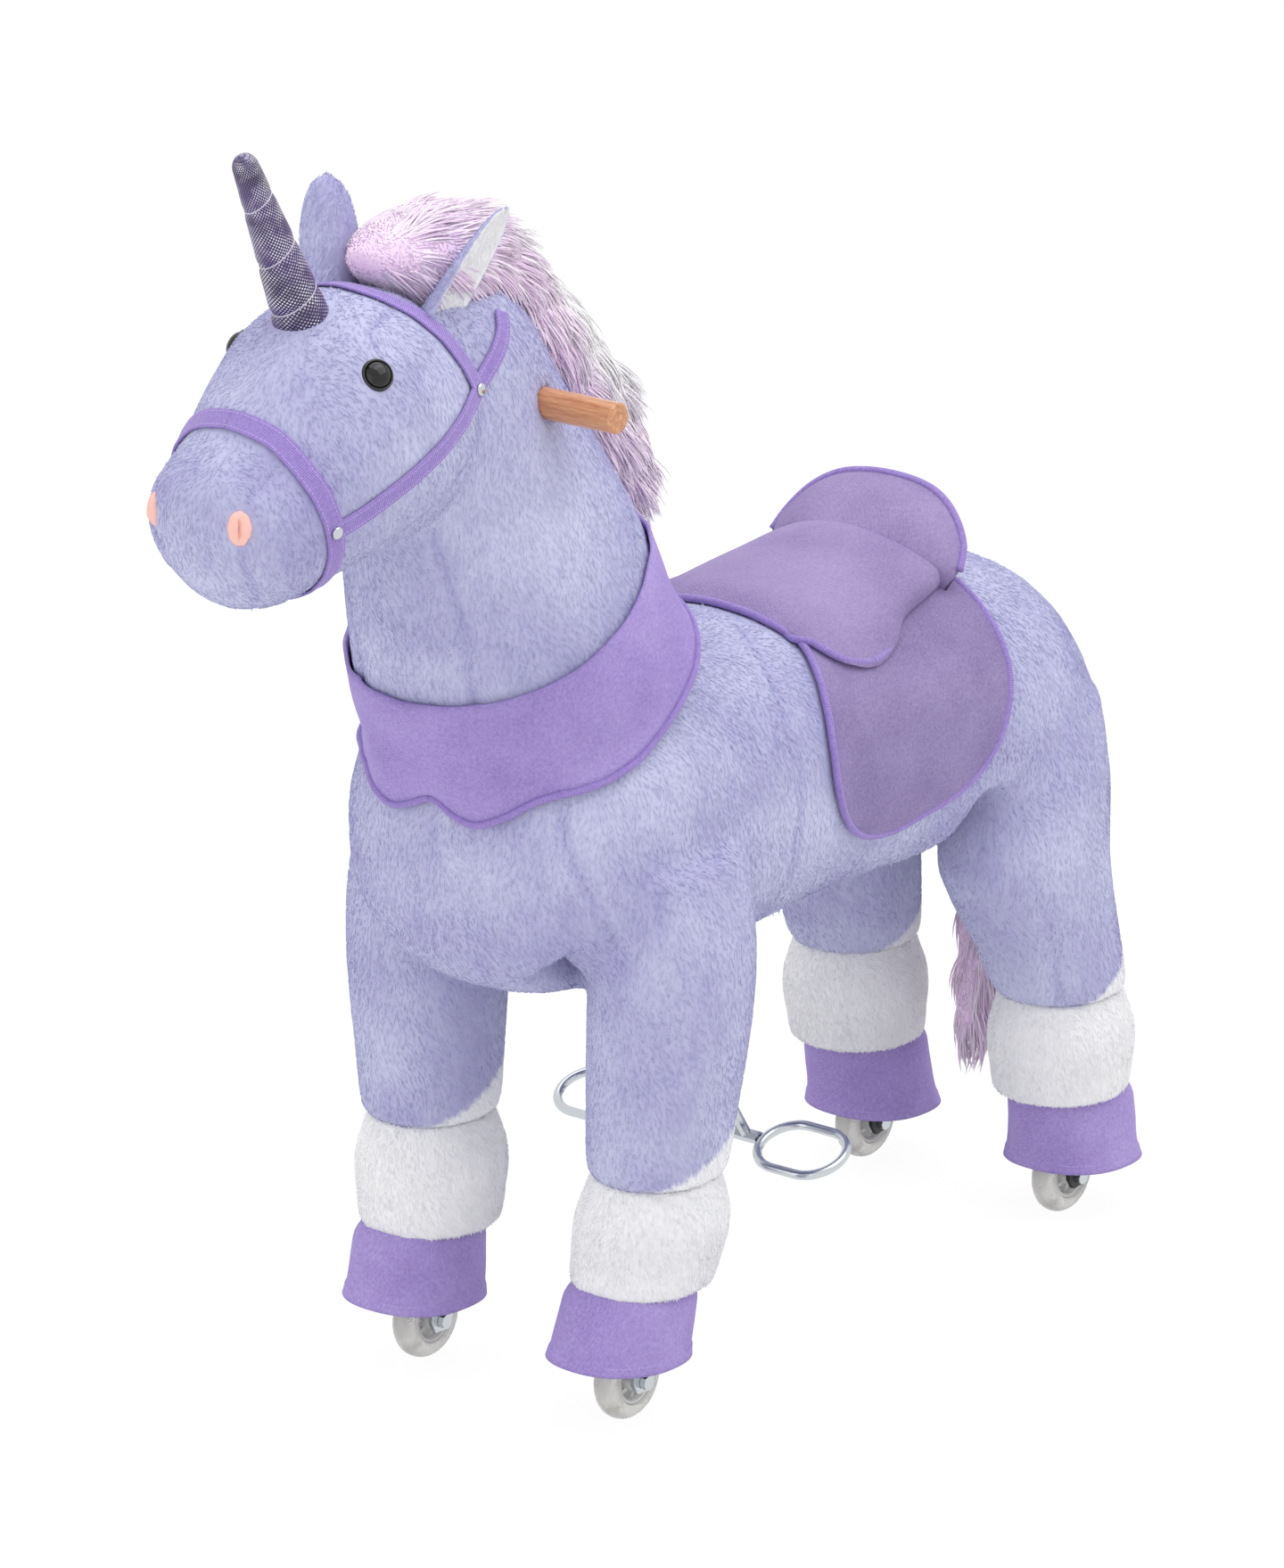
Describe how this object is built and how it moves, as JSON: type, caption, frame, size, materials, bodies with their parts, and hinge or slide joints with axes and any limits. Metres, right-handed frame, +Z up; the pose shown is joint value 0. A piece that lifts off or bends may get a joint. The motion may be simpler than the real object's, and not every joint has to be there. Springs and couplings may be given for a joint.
{
  "type": "plush ride-on animal",
  "caption": "Plush ride-on unicorn: a stuffed body on a steel frame with swinging legs on skate wheels, a wooden steering handle, a saddle and hanging foot rings.",
  "frame": {"origin": "on the floor under the middle of the overall box", "axes": "+X towards the nose, +Y to the animal's left, +Z up"},
  "size_m": [1.0874, 0.3736, 1.095],
  "materials": {
    "lilac_plush": "short pile plush",
    "white_plush": "short pile plush",
    "purple_twill": "twill cloth with a piped edge",
    "purple_webbing": "flat webbing, stitched",
    "pink_long_pile": "long pile",
    "foil_cloth": "dark cloth with silver dots",
    "eye_black": "polished",
    "varnished_beech": "clear varnish",
    "black_paint": "powder coat",
    "zinc_plate": "bright zinc plate",
    "clear_polyurethane": "clear, smooth",
    "white_nylon": "moulded",
    "black_rubber": "matte",
    "plywood": "bare"
  },
  "bodies": {
    "chassis": {"chassis_frame": "black_paint", "collar": "purple_twill", "hip_bush": "black_rubber", "saddle_board": "plywood", "saddle_flap": "purple_twill", "saddle_seat": "purple_twill", "shoulder_bush": "black_rubber", "tail": "pink_long_pile", "torso_plush": "lilac_plush"},
    "front_legs": {"cuff_front_left": "white_plush", "cuff_front_right": "white_plush", "footrest_hanger": "zinc_plate", "footrest_ring_left": "zinc_plate", "footrest_ring_right": "zinc_plate", "front_leg_frame": "black_paint", "hoof_cover_front_left": "purple_twill", "hoof_cover_front_right": "purple_twill", "leg_plush_front_left": "lilac_plush", "leg_plush_front_right": "lilac_plush"},
    "rear_legs": {"axle_bolt_rear_left": "zinc_plate", "axle_bolt_rear_right": "zinc_plate", "cuff_rear_left": "white_plush", "cuff_rear_right": "white_plush", "hoof_cover_rear_left": "purple_twill", "hoof_cover_rear_right": "purple_twill", "leg_plush_rear_left": "lilac_plush", "leg_plush_rear_right": "lilac_plush", "rear_leg_frame": "black_paint"},
    "steering_head": {"cheek_strap_left": "purple_webbing", "cheek_strap_right": "purple_webbing", "ear_left": "lilac_plush", "ear_right": "lilac_plush", "eye_left": "eye_black", "eye_right": "eye_black", "handle_bar": "varnished_beech", "head_plush": "lilac_plush", "headband": "purple_webbing", "horn": "foil_cloth", "mane": "pink_long_pile", "neck_plush": "lilac_plush", "noseband": "purple_webbing", "steering_column": "zinc_plate"},
    "tie_bar": {"tie_bar": "zinc_plate"},
    "link_rod": {"link_rod": "zinc_plate"},
    "fork_left": {"axle_bolt_front_left": "zinc_plate", "fork_left": "zinc_plate"},
    "fork_right": {"axle_bolt_front_right": "zinc_plate", "fork_right": "zinc_plate"},
    "wheel_front_left": {"core_front_left": "white_nylon", "tyre_front_left": "clear_polyurethane"},
    "wheel_front_right": {"core_front_right": "white_nylon", "tyre_front_right": "clear_polyurethane"},
    "wheel_rear_left": {"core_rear_left": "white_nylon", "tyre_rear_left": "clear_polyurethane"},
    "wheel_rear_right": {"core_rear_right": "white_nylon", "tyre_rear_right": "clear_polyurethane"}
  },
  "joints": [
    {"name": "steer", "type": "hinge", "parent": "chassis", "child": "steering_head", "pos_m": [0.15565, 0, 0.6], "axis": [0.2147, 0, 0.9767], "range_deg": [-22, 22]},
    {"name": "front_swing", "type": "hinge", "parent": "chassis", "child": "front_legs", "pos_m": [0.12137, 0, 0.47], "axis": [0, 1, 0], "range_deg": [-6, 7], "stiffness_Nm_per_rad": 200},
    {"name": "rear_swing", "type": "hinge", "parent": "chassis", "child": "rear_legs", "pos_m": [-0.40463, 0, 0.47], "axis": [0, 1, 0], "range_deg": [-7, 6]},
    {"name": "link_rod_slide", "type": "slide", "parent": "chassis", "child": "link_rod", "axis": [1, 0, 0], "range_m": [-0.0056, 0.0048]},
    {"name": "tie_bar_slide", "type": "slide", "parent": "front_legs", "child": "tie_bar", "axis": [0, 1, 0], "range_m": [-0.0115, 0.0115]},
    {"name": "fork_left_steer", "type": "hinge", "parent": "front_legs", "child": "fork_left", "pos_m": [0.14937, 0.106, 0.035], "axis": [-0.0642, 0, 0.9979], "range_deg": [-22, 22]},
    {"name": "fork_right_steer", "type": "hinge", "parent": "front_legs", "child": "fork_right", "pos_m": [0.14937, -0.106, 0.035], "axis": [-0.0642, 0, 0.9979], "range_deg": [-22, 22]},
    {"name": "wheel_front_left_roll", "type": "hinge", "parent": "fork_left", "child": "wheel_front_left", "pos_m": [0.14937, 0.106, 0.035], "axis": [0, 1, 0], "continuous": true},
    {"name": "wheel_rear_left_roll", "type": "hinge", "parent": "rear_legs", "child": "wheel_rear_left", "pos_m": [-0.44663, 0.106, 0.035], "axis": [0, 1, 0], "continuous": true},
    {"name": "wheel_front_right_roll", "type": "hinge", "parent": "fork_right", "child": "wheel_front_right", "pos_m": [0.14937, -0.106, 0.035], "axis": [0, 1, 0], "continuous": true},
    {"name": "wheel_rear_right_roll", "type": "hinge", "parent": "rear_legs", "child": "wheel_rear_right", "pos_m": [-0.44663, -0.106, 0.035], "axis": [0, 1, 0], "continuous": true}
  ],
  "couplings": [
    {"joint": "rear_swing", "follows": "front_swing", "ratio": -1},
    {"joint": "link_rod_slide", "follows": "front_swing", "m_per_rad": -0.045},
    {"joint": "tie_bar_slide", "follows": "steer", "m_per_rad": -0.029268},
    {"joint": "fork_left_steer", "follows": "steer", "ratio": 1},
    {"joint": "fork_right_steer", "follows": "steer", "ratio": 1}
  ]
}
